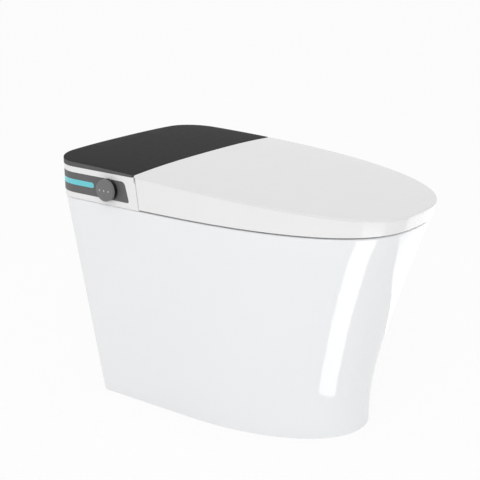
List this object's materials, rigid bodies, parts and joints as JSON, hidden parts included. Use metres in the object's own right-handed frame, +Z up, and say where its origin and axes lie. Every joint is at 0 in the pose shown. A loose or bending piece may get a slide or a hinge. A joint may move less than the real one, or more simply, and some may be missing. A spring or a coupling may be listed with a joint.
{
  "type": "smart toilet",
  "caption": "One-piece skirted toilet with a heated seat, soft-close lid, dark rear cover, side control knob, light strip, slide-out wash nozzles and a warm-air dryer.",
  "frame": {"origin": "on the floor, at the centre of the waste outlet, on the plane of symmetry", "axes": "+Z up, the front of the bowl faces -Y, the control knob is on -X"},
  "size_m": [0.4153, 0.6786, 0.4693],
  "materials": {
    "glazed_pan": "white vitreous china, glossy glaze",
    "white_gloss": "injection-moulded white plastic, gloss",
    "white_satin": "injection-moulded white plastic, satin",
    "dark_cover": "charcoal plastic, fine satin",
    "dark_panel": "dark grey plastic, satin",
    "dark_knob": "dark grey plastic, satin",
    "cyan_diffuser": "cyan light diffuser",
    "lamp_lens": "clear-white lens",
    "soft_rubber": "moulded grey rubber",
    "seal_rubber": "moulded black rubber",
    "steel": "stainless steel",
    "brass": "nickel-free brass, turned",
    "grey_plastic": "moulded grey plastic",
    "black_plastic": "moulded black plastic",
    "acetal": "natural acetal",
    "circuit_board": "green glass-epoxy board",
    "heater_foil": "foil heating mat",
    "heater_ceramic": "mica and resistance strip",
    "carbon": "pressed activated carbon",
    "hose": "silicone hose"
  },
  "bodies": {
    "unit": {"ceramic_pan": "glazed_pan", "ceramic_bowl": "glazed_pan", "ceramic_trapway": "glazed_pan", "outlet_seal": "seal_rubber", "deck_gasket": "soft_rubber", "unit_shell": "white_gloss", "top_cover": "dark_cover", "side_panel": "dark_panel", "light_strip": "cyan_diffuser", "light_board": "circuit_board", "unit_base_plate": "white_satin", "mount_bolts": "steel", "cord_gland": "black_plastic", "knob_encoder": "black_plastic", "hinge_bracket": "white_satin", "seat_damper": "grey_plastic", "lid_damper": "grey_plastic", "nozzle_cradle": "white_satin", "nozzle_motors": "steel", "dryer_duct": "grey_plastic", "dryer_housing": "grey_plastic", "dryer_motor": "steel", "dryer_heater": "heater_ceramic", "deodoriser_duct": "grey_plastic", "deodoriser_cartridge": "carbon", "deodoriser_motor": "steel", "inlet_connector": "brass", "inlet_filter": "steel", "solenoid_valve": "white_satin", "supply_hose": "hose", "instant_heater": "white_satin", "warm_hose": "hose", "flow_diverter": "grey_plastic", "air_pump": "black_plastic", "flush_pump": "black_plastic", "flush_hose": "hose", "control_board": "circuit_board", "power_supply": "black_plastic", "night_light": "lamp_lens"},
    "seat": {"seat_top": "white_gloss", "seat_base": "white_satin", "seat_heater": "heater_foil", "seat_thermostat": "black_plastic", "seat_bumpers": "soft_rubber", "seat_hinge_shaft": "steel"},
    "lid": {"lid_top": "white_gloss", "lid_frame": "white_gloss", "lid_liner": "white_satin", "lid_bumpers": "soft_rubber", "lid_hinge_shaft": "steel"},
    "knob_sleeve": {"knob_rotor": "acetal"},
    "knob": {"knob_cap": "dark_knob", "knob_shaft": "steel"},
    "rear_wand": {"rear_nozzle": "white_gloss"},
    "front_wand": {"front_nozzle": "white_gloss"},
    "rear_gear": {"rear_pinion": "acetal"},
    "front_gear": {"front_pinion": "acetal"},
    "flap": {"dryer_flap": "white_satin"},
    "impeller": {"dryer_impeller": "black_plastic"},
    "fan": {"deodoriser_fan": "black_plastic"}
  },
  "joints": [
    {"name": "seat_hinge", "type": "hinge", "parent": "unit", "child": "seat", "pos_m": [0, 0.0802, 0.452], "axis": [1, 0, 0], "range_deg": [-95, 0]},
    {"name": "lid_hinge", "type": "hinge", "parent": "seat", "child": "lid", "pos_m": [0, 0.0802, 0.452], "axis": [-1, 0, 0], "range_deg": [0, 95]},
    {"name": "knob_turn", "type": "hinge", "parent": "unit", "child": "knob_sleeve", "pos_m": [-0.2, 0.151, 0.426], "axis": [-1, 0, 0], "range_deg": [-35, 35], "stiffness_Nm_per_rad": 0.02},
    {"name": "knob_press", "type": "slide", "parent": "knob_sleeve", "child": "knob", "axis": [1, 0, 0], "range_m": [0, 0.0016], "stiffness_N_per_m": 900},
    {"name": "rear_nozzle_slide", "type": "slide", "parent": "unit", "child": "rear_wand", "axis": [0, -0.9659, -0.2588], "range_m": [0, 0.1]},
    {"name": "front_nozzle_slide", "type": "slide", "parent": "unit", "child": "front_wand", "axis": [0, -0.9659, -0.2588], "range_m": [0, 0.1]},
    {"name": "rear_pinion_turn", "type": "hinge", "parent": "unit", "child": "rear_gear", "pos_m": [-0.0115, 0.11199, 0.41222], "axis": [1, 0, 0], "range_deg": [-1000, 0]},
    {"name": "front_pinion_turn", "type": "hinge", "parent": "unit", "child": "front_gear", "pos_m": [0.0115, 0.11199, 0.41222], "axis": [1, 0, 0], "range_deg": [-1000, 0]},
    {"name": "dryer_flap_hinge", "type": "hinge", "parent": "unit", "child": "flap", "pos_m": [0.056, 0.0548, 0.3884], "axis": [-1, 0, 0], "range_deg": [0, 60]},
    {"name": "dryer_impeller_spin", "type": "hinge", "parent": "unit", "child": "impeller", "pos_m": [0.12, 0.218, 0.41], "axis": [0, 0, 1], "continuous": true},
    {"name": "deodoriser_fan_spin", "type": "hinge", "parent": "unit", "child": "fan", "pos_m": [-0.056, 0.176, 0.412], "axis": [0, 0, 1], "continuous": true}
  ],
  "couplings": [
    {"joint": "rear_pinion_turn", "follows": "rear_nozzle_slide", "rad_per_m": -166.67},
    {"joint": "front_pinion_turn", "follows": "front_nozzle_slide", "rad_per_m": -166.67}
  ]
}
